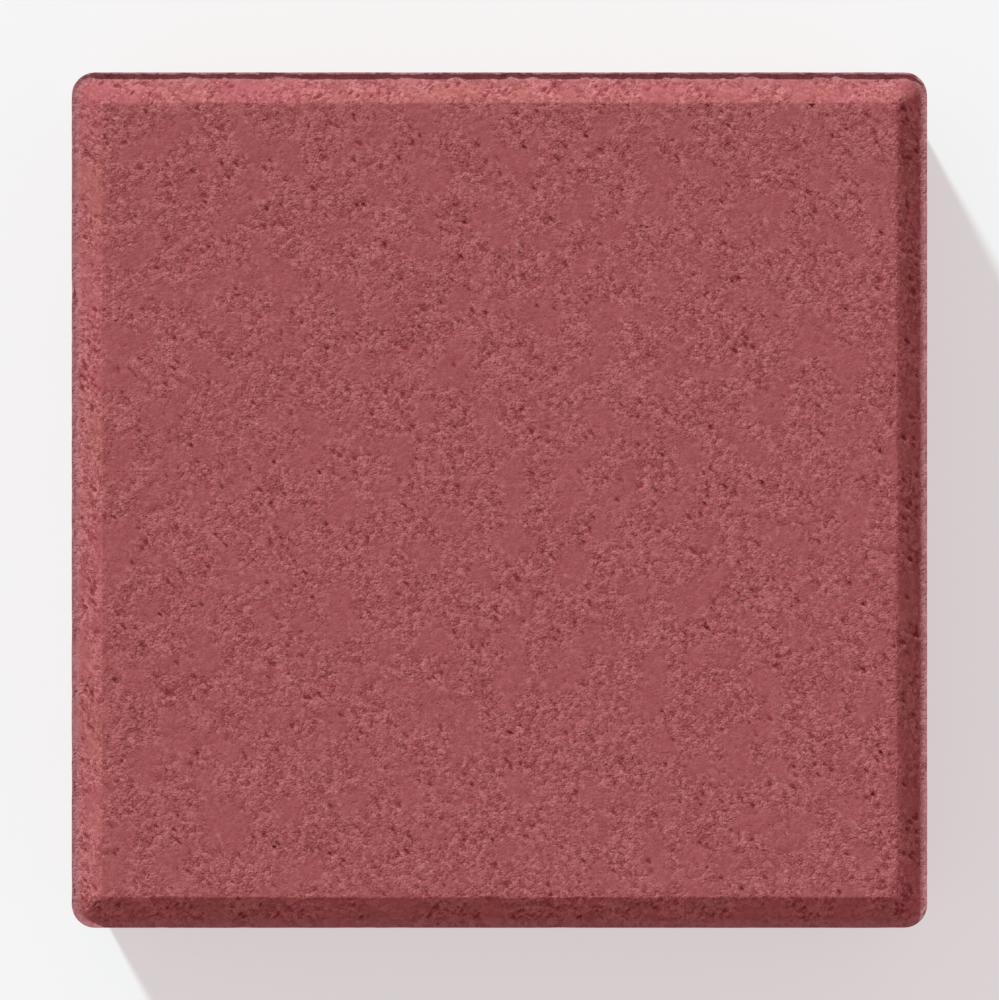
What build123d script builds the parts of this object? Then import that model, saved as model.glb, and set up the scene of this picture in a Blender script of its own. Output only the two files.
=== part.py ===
"""Square concrete paving stone, pressed in one piece in a steel mould.

The wear face on top is flat. A chamfer runs round it, with a narrow level ledge at its foot, where
the pressing shoe stops short of the mould wall. Spacer nibs on each side keep the joint open.
Millimetres, +Z up, the origin at the centre of the base.
"""

import os

from build123d import *

# Stone, without its nibs
STONE_LENGTH = 198.0  # along X
STONE_WIDTH = 198.0  # along Y
STONE_HEIGHT = 60.0
CORNER_RADIUS = 5.5  # upright corners, in plan

# Pressed edge round the wear face
LEDGE_WIDTH = 1.6  # level ledge between the mould wall and the chamfer
CHAMFER_RUN = 5.6  # level width of the slope
CHAMFER_DROP = 5.0  # height of the slope
FACE_CORNER_RADIUS = 1.0  # corners of the wear face, in plan
ARRIS_RADIUS = 0.6  # rounding where the wear face turns into the slope

# Spacer nibs
NIBS_PER_SIDE = 2
NIB_DEPTH = 1.0  # stands out by half a joint, as nib meets nib
NIB_WIDTH = 12.0
NIB_SETBACK = 15.0  # from the ledge down to the top of the nib
NIB_SLOPE = 6.0  # height over which the nib's top runs back into the side
NIB_ROUNDING = 0.5  # upright outer edges

# Outlines and heights that follow from these sizes
ledge_height = STONE_HEIGHT - CHAMFER_DROP
shoe_length = STONE_LENGTH - 2 * LEDGE_WIDTH
shoe_width = STONE_WIDTH - 2 * LEDGE_WIDTH
shoe_corner_radius = CORNER_RADIUS - LEDGE_WIDTH
face_length = shoe_length - 2 * CHAMFER_RUN
face_width = shoe_width - 2 * CHAMFER_RUN
nib_top = ledge_height - NIB_SETBACK
nib_shoulder = nib_top - NIB_SLOPE

# Nibs divide the laying module evenly, so that they meet in straight and in half-lapped courses.
module_length = STONE_LENGTH + 2 * NIB_DEPTH
module_width = STONE_WIDTH + 2 * NIB_DEPTH
nib_spacing_x = module_length / NIBS_PER_SIDE
nib_spacing_y = module_width / NIBS_PER_SIDE


def nib_places():
    """Places of the nibs: each on a side of the stone, with its own X pointing out of that side."""
    places = []
    for step in range(NIBS_PER_SIDE):
        from_middle = step - (NIBS_PER_SIDE - 1) / 2
        along_x = from_middle * nib_spacing_x
        along_y = from_middle * nib_spacing_y
        places += [
            Location((STONE_LENGTH / 2, along_y, 0), (0, 0, 0)),
            Location((along_x, STONE_WIDTH / 2, 0), (0, 0, 90)),
            Location((-STONE_LENGTH / 2, along_y, 0), (0, 0, 180)),
            Location((along_x, -STONE_WIDTH / 2, 0), (0, 0, 270)),
        ]
    return places


# One nib in side view: X runs out of the stone, whose side lies at X = 0.
# Its root goes as deep into the stone as the nib stands out.
with BuildPart() as nib:
    with BuildSketch(Plane.XZ) as nib_side_view:
        with BuildLine():
            Polyline(
                (-NIB_DEPTH, 0),
                (NIB_DEPTH, 0),
                (NIB_DEPTH, nib_shoulder),
                (0, nib_top),
                (-NIB_DEPTH, nib_top),
                close=True,
            )
        make_face()
    extrude(amount=NIB_WIDTH / 2, both=True)
    contact_face = nib.faces().filter_by(Axis.X).sort_by(Axis.X)[-1]
    fillet(contact_face.edges().filter_by(Axis.Z), NIB_ROUNDING)

# The stone, with its nibs cast on
with BuildPart() as paving_stone:
    with BuildSketch(Plane.XY) as mould_plan:
        RectangleRounded(STONE_LENGTH, STONE_WIDTH, CORNER_RADIUS)
    extrude(amount=ledge_height)

    # Chamfer, from the pressing shoe's outline up to the wear face
    with BuildSketch(Plane.XY.offset(ledge_height)) as shoe_plan:
        RectangleRounded(shoe_length, shoe_width, shoe_corner_radius)
    with BuildSketch(Plane.XY.offset(STONE_HEIGHT)) as wear_face_plan:
        RectangleRounded(face_length, face_width, FACE_CORNER_RADIUS)
    loft(ruled=True)
    wear_face = paving_stone.faces().sort_by(Axis.Z)[-1]
    fillet(wear_face.edges(), ARRIS_RADIUS)

    with Locations(*nib_places()):
        add(nib.part)

paving_stone.part.label = "paving_stone"

os.makedirs("parts", exist_ok=True)
export_step(paving_stone.part, "parts/paving_stone.step")
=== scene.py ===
"""Looks of one red concrete paving stone: the pressed stone, a pale floor, studio light and the camera."""

import math
import random

import bmesh
import bpy
from mathutils import Matrix, Vector, noise


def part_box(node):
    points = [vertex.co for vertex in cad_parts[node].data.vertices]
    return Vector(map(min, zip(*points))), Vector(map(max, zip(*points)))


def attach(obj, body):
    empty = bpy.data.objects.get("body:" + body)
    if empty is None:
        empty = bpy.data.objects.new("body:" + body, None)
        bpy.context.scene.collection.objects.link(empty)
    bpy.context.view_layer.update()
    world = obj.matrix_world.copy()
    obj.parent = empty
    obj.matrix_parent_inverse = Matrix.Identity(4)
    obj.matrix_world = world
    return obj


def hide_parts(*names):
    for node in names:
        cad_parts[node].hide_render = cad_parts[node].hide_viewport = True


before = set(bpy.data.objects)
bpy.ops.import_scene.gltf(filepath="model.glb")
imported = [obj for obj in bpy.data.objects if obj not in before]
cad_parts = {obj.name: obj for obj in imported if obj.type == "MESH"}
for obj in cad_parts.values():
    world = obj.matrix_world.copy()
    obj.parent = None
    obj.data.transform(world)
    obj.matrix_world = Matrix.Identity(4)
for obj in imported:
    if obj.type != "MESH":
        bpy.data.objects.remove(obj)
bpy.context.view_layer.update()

MM = 0.001
X_AXIS = Vector((1, 0, 0))
Y_AXIS = Vector((0, 1, 0))
Z_AXIS = Vector((0, 0, 1))

# Sizes of the stone, outside ones from its part in model.glb
stone_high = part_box("paving_stone")[1]
NIB_DEPTH = 1.0 * MM
HALF_LENGTH = stone_high.x - NIB_DEPTH
HALF_WIDTH = stone_high.y - NIB_DEPTH
STONE_TOP = stone_high.z
CORNER_RADIUS = 5.5 * MM
LEDGE_WIDTH = 1.6 * MM
CHAMFER_RUN = 5.6 * MM
CHAMFER_DROP = 5.0 * MM
FACE_CORNER_RADIUS = 1.0 * MM
ARRIS_ROUNDING = 0.30 * MM
LEDGE_HEIGHT = STONE_TOP - CHAMFER_DROP
SLOPE_NORMAL = CHAMFER_RUN / math.hypot(CHAMFER_RUN, CHAMFER_DROP)  # upward part of the slope's normal
TOP_MARGIN = LEDGE_WIDTH / 4  # what lies no further than this below the ledge belongs to the pressed top
CORNER_SEGMENTS = 8
ARRIS_SEGMENTS = 2
SHARP_ANGLE = math.radians(50)
# Loops close to the slope's foot and on both sides of its arris keep these edges crisp
CHAMFER_STAGE_SHARES = (0.04, 0.90, 1.0)
ARRIS_LOOP = 0.35 * MM

# Spacer nibs
NIB_WIDTH = 12.0 * MM
NIB_SETBACK = 15.0 * MM
NIB_TOP = LEDGE_HEIGHT - NIB_SETBACK
NIB_SLOPE = 6.0 * MM
NIB_ROUNDING = 0.5 * MM
NIB_ROUNDING_SEGMENTS = 2
FACING_SHARE = 0.999  # a face whose normal agrees this much with a direction faces that way

# The burr on the ledge, squeezed up between the pressing shoe and the mould
BURR_HEIGHT = 0.72 * MM
GROOVE_DEPTH = 0.05 * MM
# Run inwards and rise of each step over it
BURR_STEPS = (
    (0.10 * MM, BURR_HEIGHT),
    (0.60 * MM, 0),
    (0.25 * MM, -BURR_HEIGHT - GROOVE_DEPTH),
    (0.65 * MM, GROOVE_DEPTH),
)
BURR_LEDGE_SHARE = 0.5  # the burr stands on this outer share of the ledge
BURR_MEAN_SHARE = 0.30
BURR_LEAST_SHARE = 0.03
BURR_BREAKS = ((9.0 * MM, 0.5), (2.6 * MM, 0.5), (1.1 * MM, 0.4))  # (length of its ups and downs, share)
# The shoe sat off centre, so the burr is higher to the right and to the back
BURR_LEAN = Vector((0.42, 0.55, 0))
# Its inner edge wanders: everything between these shares of the ledge moves in and out
BURR_WANDER = 0.35 * MM
BURR_CRUMB = 1.2 * MM
WANDER_START_SHARE = 0.25
WANDER_END_SHARE = 0.7

# Dust on the rim: how fast it fades inwards, for each width of the ledge, and how many widths in it ends
RIM_DUST_RATE = 1.5
RIM_DUST_END_SHARE = 1.4

# Cells that the clean form is cut into, so that its surface can take a relief
FACE_CELL = 0.8 * MM
SIDE_CELL = 1.5 * MM
BASE_CELL = 4.0 * MM
SNAP_SHARE = 0.17  # of a cell: a corner this near to a cut counts as on it
PLACE_DIGITS = 6  # places are told apart to a thousandth of a millimetre

# Relief of the pressed top: (length of its bumps, depth). The shoe has closed its grain in patches.
FACE_SINK = 0.12 * MM  # standing grains come up to the clean form
FACE_WAVE = ((30 * MM, 0.03 * MM),)
FACE_GRAIN = ((1.15 * MM, 0.10 * MM),)
FACE_JITTER = 0.22 * MM  # points of the face move sideways by this, so that its grain follows no grid
SLOPE_GRAIN_SHARE = 0.5  # the shoe leaves the slope smoother
PATCH_SIZE = 6.5 * MM
PATCH_MEAN_SHARE = 0.84
PATCH_SWING = 1.7
PATCH_LEAST_SHARE = 0.12
ARRIS_RELIEF = ((2.4 * MM, 0.08 * MM),)
ARRIS_CRUMBS = ((4.5 * MM, 0.10 * MM), (1.3 * MM, 0.20 * MM))  # how far the arris has crumbled inwards
ARRIS_REACH = 1.0 * MM
# Relief of the sides, where bumps are drawn out upwards, and of the base
SIDE_RELIEF = ((30 * MM, 0.15 * MM), (5.0 * MM, 0.15 * MM), (2.2 * MM, 0.35 * MM))
SIDE_DRAG_SHARE = 0.35
BASE_RELIEF = ((25 * MM, 0.2 * MM), (9.0 * MM, 0.4 * MM))
LEVEL_SHARE = 0.6  # a surface whose normal leans up or down more than this is top or base, otherwise side

# Dents left by air and by pulled grains, and grains that stand up: (how many, least depth, greatest depth)
DRAW_SEED = 7
FACE_DENTS = (
    (1000, 0.25 * MM, 0.50 * MM),
    (7500, 0.07 * MM, 0.24 * MM),
    (7500, -0.12 * MM, -0.05 * MM),
)
SLOPE_DENTS = ((260, 0.25 * MM, 0.50 * MM), (500, 0.10 * MM, 0.25 * MM))
SIDE_DENTS = ((900, 0.10 * MM, 0.50 * MM), (260, 0.50 * MM, 1.20 * MM))
SIDE_DENT_SETBACK = 4 * MM
SIDE_DENT_TOP = LEDGE_HEIGHT - SIDE_DENT_SETBACK
DENT_SPREAD_CHANCE = 0.08
DENT_EDGE_GAP = 0.7 * MM  # no dent lies nearer to the slope's foot or arris, where cells are narrow
DARK_DEPTH = 0.45 * MM  # a dent this deep gets the full painted pore shade in its colour


def between(value, low, high):
    return min(max(value, low), high)


def edge_distance(place):
    """How far a place lies inside the stone's outline, seen from above."""
    over_x = abs(place.x) - HALF_LENGTH + CORNER_RADIUS
    over_y = abs(place.y) - HALF_WIDTH + CORNER_RADIUS
    past_corner = math.hypot(max(over_x, 0), max(over_y, 0))
    return CORNER_RADIUS - past_corner - min(max(over_x, over_y), 0)


def arris_distance(place):
    """How far a place lies from the edge between the slope and the wear face, seen from above."""
    return abs(edge_distance(place) - LEDGE_WIDTH - CHAMFER_RUN)


def arris_share(place):
    """1 at the arris, falling to 0 where its reach ends."""
    return max(1 - arris_distance(place) / ARRIS_REACH, 0)


def on_top(place):
    return place.z > LEDGE_HEIGHT - TOP_MARGIN


def on_slope(place):
    return LEDGE_WIDTH < edge_distance(place) < LEDGE_WIDTH + CHAMFER_RUN and place.z > LEDGE_HEIGHT


def inwards_at(place, centre_inset):
    """The level direction in from the nearest side or, at a corner, to its centre, inset that far."""
    over_x = abs(place.x) - HALF_LENGTH + centre_inset
    over_y = abs(place.y) - HALF_WIDTH + centre_inset
    if over_x > 0 and over_y > 0:
        outwards = Vector((over_x, over_y, 0)).normalized()
    else:
        outwards = X_AXIS if over_x > over_y else Y_AXIS
    return Vector((-math.copysign(outwards.x, place.x), -math.copysign(outwards.y, place.y), 0))


def bumps(place, relief):
    """Depth of a relief at a place: nothing on its highest bumps, the sum of its depths in its lowest."""
    return sum(depth * (1 + noise.noise(place / length)) / 2 for length, depth in relief)


def patch_share(place):
    """How much of its grain the top shows at a place: little in a closed patch, all of it elsewhere."""
    return between(PATCH_MEAN_SHARE + PATCH_SWING * noise.noise(place / PATCH_SIZE), PATCH_LEAST_SHARE, 1)


def face_parts(faces):
    """The corners and edges of some faces, with the faces."""
    points = dict.fromkeys(point for face in faces for point in face.verts)
    edges = dict.fromkeys(edge for face in faces for edge in face.edges)
    return [*points, *edges, *faces]


def highest_face(mesh):
    return max(mesh.faces, key=lambda face: face.calc_center_median().z)


def drawn_out(mesh, face):
    """Draws a face out of the mesh, still in its old place. Returns the new face."""
    raised = bmesh.ops.extrude_face_region(mesh, geom=[face])["geom"]
    bmesh.ops.delete(mesh, geom=[face], context="FACES_ONLY")
    return next(part for part in raised if isinstance(part, bmesh.types.BMFace))


def add_block(mesh):
    """The plain block up to the ledge, with its upright corners rounded."""
    points = bmesh.ops.create_cube(mesh, size=1)["verts"]
    bmesh.ops.scale(mesh, vec=(2 * HALF_LENGTH, 2 * HALF_WIDTH, LEDGE_HEIGHT), verts=points)
    bmesh.ops.translate(mesh, vec=(0, 0, LEDGE_HEIGHT / 2), verts=points)
    uprights = [edge for edge in mesh.edges if edge.verts[0].co.xy == edge.verts[1].co.xy]
    bmesh.ops.bevel(mesh, geom=uprights, affect="EDGES", offset=CORNER_RADIUS,
                    segments=CORNER_SEGMENTS, profile=0.5, material=-1)


def add_ledge(mesh):
    """Up the burr, over it and along the ledge, to the foot of the chamfer. Returns the face inside."""
    shoe_face = highest_face(mesh)
    for run, rise in BURR_STEPS:
        bmesh.ops.inset_region(mesh, faces=[shoe_face], thickness=run, depth=rise, use_even_offset=True)
    return shoe_face


def slope_corner(stage):
    """Radius of the slope's corners at a share of its height, and how far in their centres lie."""
    foot_radius = CORNER_RADIUS - LEDGE_WIDTH
    radius = foot_radius + (FACE_CORNER_RADIUS - foot_radius) * stage
    return radius, LEDGE_WIDTH + CHAMFER_RUN * stage + radius


def add_chamfer(mesh, outline):
    """Raises the shoe's outline to the wear face in stages, and draws in its corners to their radius."""
    reached = 0
    for stage in CHAMFER_STAGE_SHARES:
        outline = drawn_out(mesh, outline)
        bmesh.ops.translate(mesh, vec=(0, 0, CHAMFER_DROP * (stage - reached)), verts=outline.verts[:])
        old_radius, old_inset = slope_corner(reached)
        new_radius, new_inset = slope_corner(stage)
        shrink = new_radius / old_radius
        for side_x in (-1, 1):
            for side_y in (-1, 1):
                half = [point for point in outline.verts if point.co.x * side_x > 0]
                arc = [point for point in half if point.co.y * side_y > 0]
                middle = Vector((side_x * (HALF_LENGTH - old_inset), side_y * (HALF_WIDTH - old_inset), 0))
                bmesh.ops.scale(mesh, vec=(shrink, shrink, 1), space=Matrix.Translation(-middle), verts=arc)
                inwards = Vector((-side_x, -side_y, 0)) * (new_inset - old_inset)
                bmesh.ops.translate(mesh, vec=inwards, verts=arc)
        reached = stage
    bmesh.ops.bevel(mesh, geom=outline.edges[:], affect="EDGES", offset=ARRIS_ROUNDING,
                    segments=ARRIS_SEGMENTS, profile=0.5, material=-1)
    bmesh.ops.inset_region(mesh, faces=[highest_face(mesh)], thickness=ARRIS_LOOP, use_even_offset=True)


def add_nib(mesh, outwards, middle):
    """A spacer nib, drawn out of a patch of the side that faces outwards. Its middle is that far along."""
    along = Z_AXIS.cross(outwards)

    def side_faces():
        return [face for face in mesh.faces if face.normal.dot(outwards) > FACING_SHARE]

    def off_middle(face):
        return abs(face.calc_center_median().dot(along) - middle)

    def rise(edge):
        return abs(edge.verts[0].co.z - edge.verts[1].co.z)

    for end in (middle - NIB_WIDTH / 2, middle + NIB_WIDTH / 2):
        side = face_parts(side_faces())
        bmesh.ops.bisect_plane(mesh, geom=side, plane_co=along * end, plane_no=along)
    strip = face_parts([min(side_faces(), key=off_middle)])
    bmesh.ops.bisect_plane(mesh, geom=strip, plane_co=Z_AXIS * NIB_TOP, plane_no=Z_AXIS)
    halves = [face for face in side_faces() if off_middle(face) < NIB_WIDTH / 4]
    patch = drawn_out(mesh, min(halves, key=lambda face: face.calc_center_median().z))
    bmesh.ops.translate(mesh, vec=outwards * NIB_DEPTH, verts=patch.verts[:])
    upper = [point for point in patch.verts if point.co.z > NIB_TOP / 2]
    bmesh.ops.translate(mesh, vec=-Z_AXIS * NIB_SLOPE, verts=upper)
    uprights = [edge for edge in patch.edges if rise(edge) > NIB_TOP / 2]
    bmesh.ops.bevel(mesh, geom=uprights, affect="EDGES", offset=NIB_ROUNDING,
                    segments=NIB_ROUNDING_SEGMENTS, profile=0.5, material=-1)


def cut_into_cells(mesh, faces, cell, axis, low, high):
    """Halves some faces along an axis, and each half again, down to cells. Returns all the faces."""
    steps = round((high - low) / cell)
    if steps < 2 or not faces:
        return faces
    middle = low + (high - low) * (steps // 2) / steps
    cut = bmesh.ops.bisect_plane(mesh, geom=face_parts(faces), dist=cell * SNAP_SHARE,
                                 plane_co=axis * middle, plane_no=axis)["geom"]
    pieces = [part for part in cut if isinstance(part, bmesh.types.BMFace)]
    below = [face for face in pieces if face.calc_center_median().dot(axis) < middle]
    above = [face for face in pieces if face.calc_center_median().dot(axis) >= middle]
    return (cut_into_cells(mesh, below, cell, axis, low, middle)
            + cut_into_cells(mesh, above, cell, axis, middle, high))


def cut_surface(mesh):
    """Coarse cells on the base, finer ones on the sides, and the finest on the pressed top."""
    across = (X_AXIS, -HALF_LENGTH, HALF_LENGTH)
    deep = (Y_AXIS, -HALF_WIDTH, HALF_WIDTH)
    upright = (Z_AXIS, 0, LEDGE_HEIGHT)
    base = [face for face in mesh.faces if face.normal.z < -LEVEL_SHARE]
    top = [face for face in mesh.faces if face.calc_center_median().z > LEDGE_HEIGHT - GROOVE_DEPTH]
    level = set(base + top)
    sides = [face for face in mesh.faces if face not in level]
    for faces, cell, spans in (
        (base, BASE_CELL, (across, deep)),
        (sides, SIDE_CELL, (upright, across, deep)),
        (top, FACE_CELL, (across, deep)),
    ):
        for axis, low, high in spans:
            faces = cut_into_cells(mesh, faces, cell, axis, low, high)


def place_key(point):
    return point.co.to_tuple(PLACE_DIGITS)


def set_order(mesh):
    """Puts the points in order of their places, as the order they are made in changes from run to run."""
    for rank, point in enumerate(sorted(mesh.verts, key=place_key)):
        point.index = rank
    mesh.verts.sort()


def neighbours(point):
    return sorted((edge.other_vert(point) for edge in point.link_edges), key=place_key)


def loosen(mesh, draw):
    """Moves the points of the wear face sideways at random."""
    for point in mesh.verts:
        inside = edge_distance(point.co) - LEDGE_WIDTH - CHAMFER_RUN - ARRIS_LOOP
        if point.co.z > STONE_TOP - ARRIS_ROUNDING and inside > FACE_CELL:
            point.co.x += draw.uniform(-FACE_JITTER, FACE_JITTER)
            point.co.y += draw.uniform(-FACE_JITTER, FACE_JITTER)


def mark_zones(mesh):
    """Marks the dusty rim, the slope, the cast sides and base, and how open the grain is."""
    rim = mesh.verts.layers.float.new("rim")
    cast = mesh.verts.layers.float.new("cast")
    grain_share = mesh.verts.layers.float.new("open")
    slope = mesh.verts.layers.float.new("slope")
    for point in mesh.verts:
        pressed = on_top(point.co)
        dust_left = RIM_DUST_END_SHARE - edge_distance(point.co) / LEDGE_WIDTH
        point[rim] = between(RIM_DUST_RATE * dust_left, 0, 1) if pressed else 0
        point[cast] = 0 if pressed else 1
        point[grain_share] = patch_share(point.co)
        point[slope] = 1 if on_slope(point.co) else 0


def crumble_burr(mesh):
    """Breaks the burr down to an uneven, crumbly crest that wanders a little."""
    for point in mesh.verts:
        place = point.co.copy()
        rise = place.z - LEDGE_HEIGHT
        inside = edge_distance(place)
        inwards = inwards_at(place, CORNER_RADIUS)
        if rise > GROOVE_DEPTH and inside < LEDGE_WIDTH * BURR_LEDGE_SHARE:
            left = BURR_MEAN_SHARE - BURR_LEAN.dot(inwards)
            left += sum(share * noise.noise(place / length) for length, share in BURR_BREAKS)
            point.co.z = LEDGE_HEIGHT + rise * between(left, BURR_LEAST_SHARE, 1)
        if on_top(place) and LEDGE_WIDTH * WANDER_START_SHARE < inside < LEDGE_WIDTH * WANDER_END_SHARE:
            level = Vector((place.x, place.y, 0))
            point.co += inwards * BURR_WANDER * noise.noise(level / BURR_CRUMB)


def crumble_arris(mesh):
    """Draws the edge between the slope and the wear face inwards, unevenly, as its grains broke away."""
    for point in mesh.verts:
        place = point.co.copy()
        share = arris_share(place)
        if share > 0 and place.z > LEDGE_HEIGHT:
            level = Vector((place.x, place.y, 0))
            inwards = inwards_at(place, LEDGE_WIDTH + CHAMFER_RUN + FACE_CORNER_RADIUS)
            point.co += inwards * bumps(level, ARRIS_CRUMBS) * share


def relief_depth(place, normal):
    """How far the surface at a place lies below the clean form."""
    if normal.z > LEVEL_SHARE:
        flatness = between((normal.z - SLOPE_NORMAL) / (1 - SLOPE_NORMAL), 0, 1)
        grain_share = SLOPE_GRAIN_SHARE + (1 - SLOPE_GRAIN_SHARE) * flatness
        depth = FACE_SINK + bumps(place, FACE_WAVE)
        depth += bumps(place, FACE_GRAIN) * grain_share * patch_share(place)
        depth += bumps(place, ARRIS_RELIEF) * arris_share(place)
        return depth
    if normal.z < -LEVEL_SHARE:
        return bumps(place, BASE_RELIEF)
    return bumps(Vector((place.x, place.y, place.z * SIDE_DRAG_SHARE)), SIDE_RELIEF)


def roughen(mesh):
    """Sinks every point of the surface by the relief, inwards only."""
    mesh.normal_update()
    for point in mesh.verts:
        point.co -= point.normal * relief_depth(point.co, point.normal)


def add_dents(mesh, draw):
    """Sinks points picked at random into open dents, none beside a like one. Marks how deep each is, which
    the material uses to paint shade into the dents.
    """
    mesh.normal_update()
    hollow = mesh.verts.layers.float.new("hollow")

    def sink(point, depth):
        point.co -= point.normal * depth
        point.co.z = min(point.co.z, STONE_TOP)
        point[hollow] += depth / DARK_DEPTH

    def takes_face_dent(point):
        past_foot = edge_distance(point.co) - LEDGE_WIDTH
        clear = past_foot > DENT_EDGE_GAP and arris_distance(point.co) > DENT_EDGE_GAP
        return clear and point.normal.z > 0

    def takes_side_dent(point):
        return abs(point.normal.z) < LEVEL_SHARE and point.co.z < SIDE_DENT_TOP

    top = [point for point in mesh.verts if takes_face_dent(point)]
    face = [point for point in top if draw.random() < patch_share(point.co)]
    slope = [point for point in face if on_slope(point.co)]
    sides = [point for point in mesh.verts if takes_side_dent(point)]
    for points, dents in ((face, FACE_DENTS), (slope, SLOPE_DENTS), (sides, SIDE_DENTS)):
        for count, least, greatest in dents:
            for point in draw.sample(points, count):
                depth = draw.uniform(least, greatest)
                if any(near[hollow] * depth > 0 for near in neighbours(point)):
                    continue
                sink(point, depth)
                for near in neighbours(point):
                    if draw.random() < DENT_SPREAD_CHANCE:
                        sink(near, depth * draw.random())


def add_object(name, data):
    """Puts an object into the scene. Returns it."""
    made = bpy.data.objects.new(name, data)
    bpy.context.scene.collection.objects.link(made)
    return made


def mesh_data(name, mesh):
    """Mesh data from a bmesh, which is freed."""
    data = bpy.data.meshes.new(name)
    mesh.to_mesh(data)
    mesh.free()
    return data


def pressed_stone():
    """The whole stone as one closed mesh."""
    mesh = bmesh.new()
    draw = random.Random(DRAW_SEED)
    add_block(mesh)
    add_chamfer(mesh, add_ledge(mesh))
    for axis, half_side in ((X_AXIS, HALF_WIDTH), (Y_AXIS, HALF_LENGTH)):
        half_span = (half_side + NIB_DEPTH) / 2
        for outwards in (axis, -axis):
            add_nib(mesh, outwards, -half_span)
            add_nib(mesh, outwards, half_span)
    cut_surface(mesh)
    set_order(mesh)
    loosen(mesh, draw)
    mark_zones(mesh)
    crumble_burr(mesh)
    crumble_arris(mesh)
    roughen(mesh)
    add_dents(mesh, draw)
    for face in mesh.faces:
        face.smooth = True
    data = mesh_data("pressed_stone", mesh)
    data.set_sharp_from_angle(angle=SHARP_ANGLE)
    return add_object("pressed_stone", data)


class Wire:
    """A socket of a node tree. Sums on wires add Math nodes, and node() adds any other node."""

    def __init__(self, tree, socket=None):
        self.tree = tree
        self.socket = socket

    def node(self, kind, settings=None, sockets=None, output=0):
        """Adds a node: its settings first, then its sockets' values or links. Returns a wire from it."""
        made = self.tree.nodes.new(kind)
        for name, value in (settings or {}).items():
            setattr(made, name, value)
        for name, value in (sockets or {}).items():
            if isinstance(value, Wire):
                self.tree.links.new(value.socket, made.inputs[name])
            else:
                made.inputs[name].default_value = value
        return Wire(self.tree, made.outputs[output] if len(made.outputs) else None)

    def output(self, name):
        """A wire from another output of the same node."""
        return Wire(self.tree, self.socket.node.outputs[name])

    def sum(self, operation, first, second):
        return self.node("ShaderNodeMath", {"operation": operation}, {0: first, 1: second})

    def __add__(self, other):
        return self.sum("ADD", self, other)

    __radd__ = __add__

    def __sub__(self, other):
        return self.sum("SUBTRACT", self, other)

    def __rsub__(self, other):
        return self.sum("SUBTRACT", other, self)

    def __mul__(self, other):
        return self.sum("MULTIPLY", self, other)

    __rmul__ = __mul__

    def swing(self, size):
        """A pattern of 0 to 1 as a swing of that size about nothing."""
        return (self - 0.5) * size

    def blend(self, first, second):
        """A number between two numbers, by this share."""
        return self * (second - first) + first

    def mix(self, first, second):
        """A colour between two colours, by this share."""
        return self.node("ShaderNodeMix", {"data_type": "RGBA"}, {0: self, 6: first, 7: second}, output=2)

    def step(self, low, high):
        """0 below low, 1 above high, with a smooth step between."""
        return self.node("ShaderNodeMapRange", {"interpolation_type": "SMOOTHSTEP"},
                         {0: self, 1: low, 2: high, 3: 0.0, 4: 1.0})


def finish_tree(name):
    """A new material and a wire into its empty node tree."""
    material = bpy.data.materials.new(name)
    material.use_nodes = True
    material.node_tree.nodes.clear()
    return material, Wire(material.node_tree)


# Colours of the concrete, linear, and the painted shade of its pores and dents
DEEP_PASTE = (0.230, 0.037, 0.040, 1)
PALE_PASTE = (0.480, 0.148, 0.151, 1)
# Painted shade: the dark colour that pores and dents are painted, standing in for the shade inside them
PAINTED_PORE_SHADE = (0.195, 0.019, 0.024, 1)
RIM_DUST = (0.420, 0.196, 0.213, 1)
PALE_GRAIN = (0.545, 0.215, 0.220, 1)
SAND_FILM = (0.335, 0.118, 0.083, 1)
WINE_FILM = (0.365, 0.076, 0.110, 1)

# Sizes of its patterns. What was cast against the mould has a coarser grain, drawn out upwards.
FILM_SIZE = 14 * MM
GRAIN_SIZE = 0.95 * MM
GRIT_SIZE = 0.45 * MM
PORE_SIZE = 1.4 * MM
CAST_GRAIN_SIZE = 1.5 * MM
CAST_DRAG_SHARE = 0.6
BEND_SIZE = 0.6 * MM
BEND_REACH = 0.5 * MM

# Tone of the paste between deep and pale: where it starts, and how far each pattern swings it
CLOSED_TONE = 0.44
OPEN_TONE = 0.51
GRAIN_TONE_SWING = 0.6
GRIT_TONE_SWING = 1.2
CAST_TONE_SWING = 0.7
CLOSED_PATTERN_SHARE = 0.25  # a closed patch shows this share of the patterns
SLOPE_CONTRAST = 1.5  # grain and grit swing the tone this many times as far on the slope

# How much of the other colours shows, and over which values of its pattern each one comes in
FILM_SHARE = 0.2
SAND_FILM_STEP = (0.40, 0.72)
WINE_FILM_STEP = (0.28, 0.60)
RIM_DUST_SHARE = 0.6
RIM_DUST_SWING = 0.5
FACE_PORE_STEP = (0.27, 0.36)
CAST_PORE_STEP = (0.30, 0.38)
CAST_PORE_SHARE = 0.6
# How far pores, on the face and on the cast sides, are darkened with painted shade
FACE_PORE_SHADE_SHARE = 0.30
CAST_PORE_SHADE_SHARE = 0.65
STANDING_GRAIN_STEP = (0.0, 0.27)
STANDING_GRAIN_SHARE = 0.5
# How deep a dent must be for its painted shade, and how far it is darkened on the face and on the cast
# sides
DENT_STEP = (0.10, 0.70)
FACE_DENT_SHADE_SHARE = 0.75
CAST_DENT_SHADE_SHARE = 0.40

# Bump and finish. The height of each pattern is a share of the bump's depth.
BUMP_DEPTH = 0.30 * MM
GRAIN_LEVEL_SHARE = 0.5
GRAIN_DOME_SHARE = 0.5
GRIT_BUMP_SHARE = 0.7
CAST_BUMP_SHARE = 2.0
PORE_BUMP_SHARE = 0.8
CONCRETE_ROUGHNESS = 0.92
GRIT_SHEEN = 0.1
CONCRETE_SPECULAR = 0.15


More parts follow.
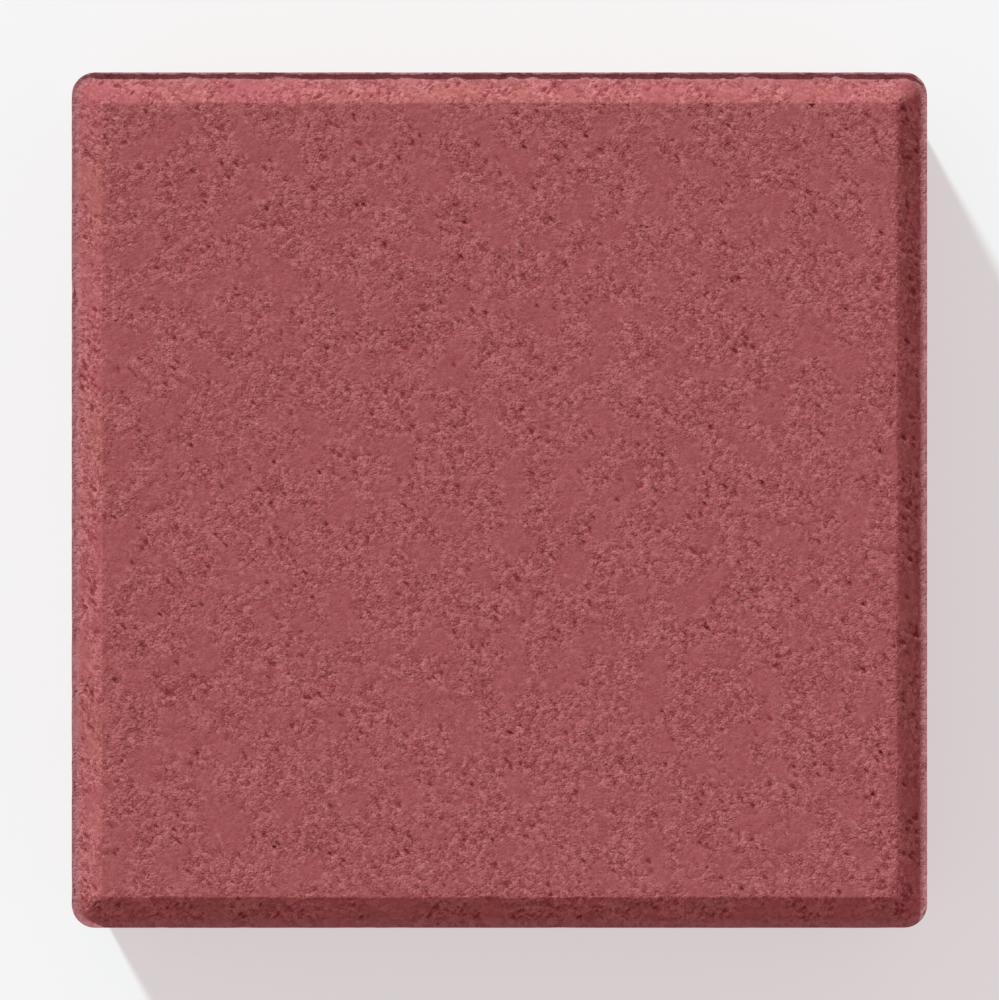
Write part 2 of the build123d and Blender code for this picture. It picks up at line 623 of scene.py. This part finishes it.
def red_concrete():
    """Through-coloured concrete: red paste over sand, grain by grain, with pores and a dusty rim. Its pores
    and dents are darkened with painted shade.
    """
    material, tree = finish_tree("red_concrete")
    place = tree.node("ShaderNodeTexCoord", output="Object")

    def zone(name):
        return tree.node("ShaderNodeAttribute", {"attribute_name": name}, output="Fac")

    def cloud(where, size, detail, output="Fac"):
        return tree.node("ShaderNodeTexNoise", None,
                         {"Vector": where, "Scale": 1 / size, "Detail": detail}, output)

    opened = zone("open")
    slope = zone("slope")
    cast = zone("cast")
    hollow = zone("hollow")
    patch = opened.blend(CLOSED_PATTERN_SHARE, 1)

    bent = tree.node("ShaderNodeVectorMath", {"operation": "MULTIPLY_ADD"},
                     {0: cloud(place, BEND_SIZE, 0, "Color"), 1: (BEND_REACH,) * 3, 2: place})
    grain = tree.node("ShaderNodeTexVoronoi", None, {"Vector": bent, "Scale": 1 / GRAIN_SIZE}, "Distance")
    grain_tone = tree.node("ShaderNodeSeparateColor", None, {0: grain.output("Color")})
    grit = cloud(place, GRIT_SIZE, 1)
    film = cloud(place, FILM_SIZE, 1)
    dragged = tree.node("ShaderNodeVectorMath", {"operation": "MULTIPLY"},
                        {0: bent, 1: (1, 1, CAST_DRAG_SHARE)})
    cast_grain = cloud(dragged, CAST_GRAIN_SIZE, 2)
    face_pores = (1 - cloud(bent, PORE_SIZE, 2).step(*FACE_PORE_STEP)) * patch
    cast_pores = (1 - cast_grain.step(*CAST_PORE_STEP)) * cast * CAST_PORE_SHARE
    pores = face_pores + cast_pores

    contrast = patch * slope.blend(1, SLOPE_CONTRAST)
    tone = opened.blend(CLOSED_TONE, OPEN_TONE)
    tone += contrast * (grain_tone.swing(GRAIN_TONE_SWING) + grit.swing(GRIT_TONE_SWING))
    tone += cast * cast_grain.swing(CAST_TONE_SWING)
    paste = tone.mix(DEEP_PASTE, PALE_PASTE)
    paste = (slope * film.step(*SAND_FILM_STEP) * FILM_SHARE).mix(paste, SAND_FILM)
    paste = (slope * (1 - film.step(*WINE_FILM_STEP)) * FILM_SHARE).mix(paste, WINE_FILM)
    paste = (zone("rim") * (RIM_DUST_SHARE + grain_tone.swing(RIM_DUST_SWING))).mix(paste, RIM_DUST)
    # Painted shade: the pores are darkened towards the painted pore shade
    paste = (pores * cast.blend(FACE_PORE_SHADE_SHARE, CAST_PORE_SHADE_SHARE)).mix(paste, PAINTED_PORE_SHADE)
    standing = (0 - hollow).step(*STANDING_GRAIN_STEP)
    paste = (standing * STANDING_GRAIN_SHARE).mix(paste, PALE_GRAIN)
    # Painted shade: dents are darkened by their depth towards the painted pore shade
    dent_shade = hollow.step(*DENT_STEP) * cast.blend(FACE_DENT_SHADE_SHARE, CAST_DENT_SHADE_SHARE)
    paste = dent_shade.mix(paste, PAINTED_PORE_SHADE)

    height = patch * (grain_tone * GRAIN_LEVEL_SHARE - grain * GRAIN_DOME_SHARE + grit * GRIT_BUMP_SHARE)
    height += cast * cast_grain * CAST_BUMP_SHARE
    height -= pores * PORE_BUMP_SHARE
    normal = tree.node("ShaderNodeBump", None, {"Strength": 1.0, "Distance": BUMP_DEPTH, "Height": height})
    shader = tree.node("ShaderNodeBsdfPrincipled", None, {
        "Base Color": paste,
        "Roughness": CONCRETE_ROUGHNESS - grit * GRIT_SHEEN,
        "Specular IOR Level": CONCRETE_SPECULAR,
        "Normal": normal,
    })
    tree.node("ShaderNodeOutputMaterial", None, {"Surface": shader})
    return material


# Floor and light: a warm fill and a cooler key, which together light a level surface white
WHITE = (1, 1, 1, 1)
FLOOR_SIZE = 12.0
FLOOR_COLOUR = (0.84, 0.86, 0.86, 1)
FLOOR_GLOW_SHARE = 0.5
FILL_COLOUR = (0.53, 0.375, 0.387, 1)
KEY_LIGHT = 4.40
KEY_COLOUR = (0.83, 1.07, 1.06)
KEY_ANGLE = math.radians(4.5)
KEY_TOWARDS = Vector((-0.440, 0.797, 0.415))


def shown_rays(tree):
    """1 for the rays that show the background: straight from the camera, mirrored, or through glass."""
    path = tree.node("ShaderNodeLightPath", output="Is Camera Ray")
    return path + path.output("Is Glossy Ray") + path.output("Is Transmission Ray")


def pale_floor():
    """A wide pale floor that keeps the stone's shadow, lifted a little towards white for the camera."""
    mesh = bmesh.new()
    bmesh.ops.create_grid(mesh, x_segments=1, y_segments=1, size=FLOOR_SIZE / 2)
    floor = add_object("floor", mesh_data("floor", mesh))
    material, tree = finish_tree("pale_floor")
    seen = shown_rays(tree)
    matt = tree.node("ShaderNodeBsdfDiffuse", None, {"Color": FLOOR_COLOUR})
    glow = tree.node("ShaderNodeEmission", None, {"Color": WHITE, "Strength": 1.0})
    mixed = tree.node("ShaderNodeMixShader", None, {0: seen * FLOOR_GLOW_SHARE, 1: matt, 2: glow})
    tree.node("ShaderNodeOutputMaterial", None, {"Surface": mixed})
    floor.data.materials.append(material)


def studio_light():
    """A low key light from the upper left, and an even fill from all round that shows as white."""
    sun = bpy.data.lights.new("key", "SUN")
    sun.energy = KEY_LIGHT
    sun.color = KEY_COLOUR
    sun.angle = KEY_ANGLE
    key = add_object("key", sun)
    key.rotation_euler = KEY_TOWARDS.to_track_quat("Z", "Y").to_euler()
    world = bpy.data.worlds.new("studio")
    world.use_nodes = True
    world.node_tree.nodes.clear()
    tree = Wire(world.node_tree)
    colour = shown_rays(tree).mix(FILL_COLOUR, WHITE)
    light = tree.node("ShaderNodeBackground", None, {"Color": colour, "Strength": 1.0})
    tree.node("ShaderNodeOutputWorld", None, {"Surface": light})
    bpy.context.scene.world = world


# Camera, straight above, with the picture's top towards +Y
LENS = 200.0
FRAME_FILL_SHARE = 0.86  # of the picture's width, taken by the stone


def camera_above():
    """A long lens, far enough above the wear face for the stone to fill its share of the picture."""
    data = bpy.data.cameras.new("camera")
    data.lens = LENS
    half_view = data.sensor_width / 2 / LENS
    camera = add_object("camera", data)
    camera.location = (0, 0, STONE_TOP + HALF_LENGTH / FRAME_FILL_SHARE / half_view)
    bpy.context.scene.camera = camera


stone = pressed_stone()
stone.data.materials.append(red_concrete())
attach(stone, "root")
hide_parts("paving_stone")
pale_floor()
studio_light()
camera_above()
bpy.context.scene.view_settings.view_transform = "Standard"
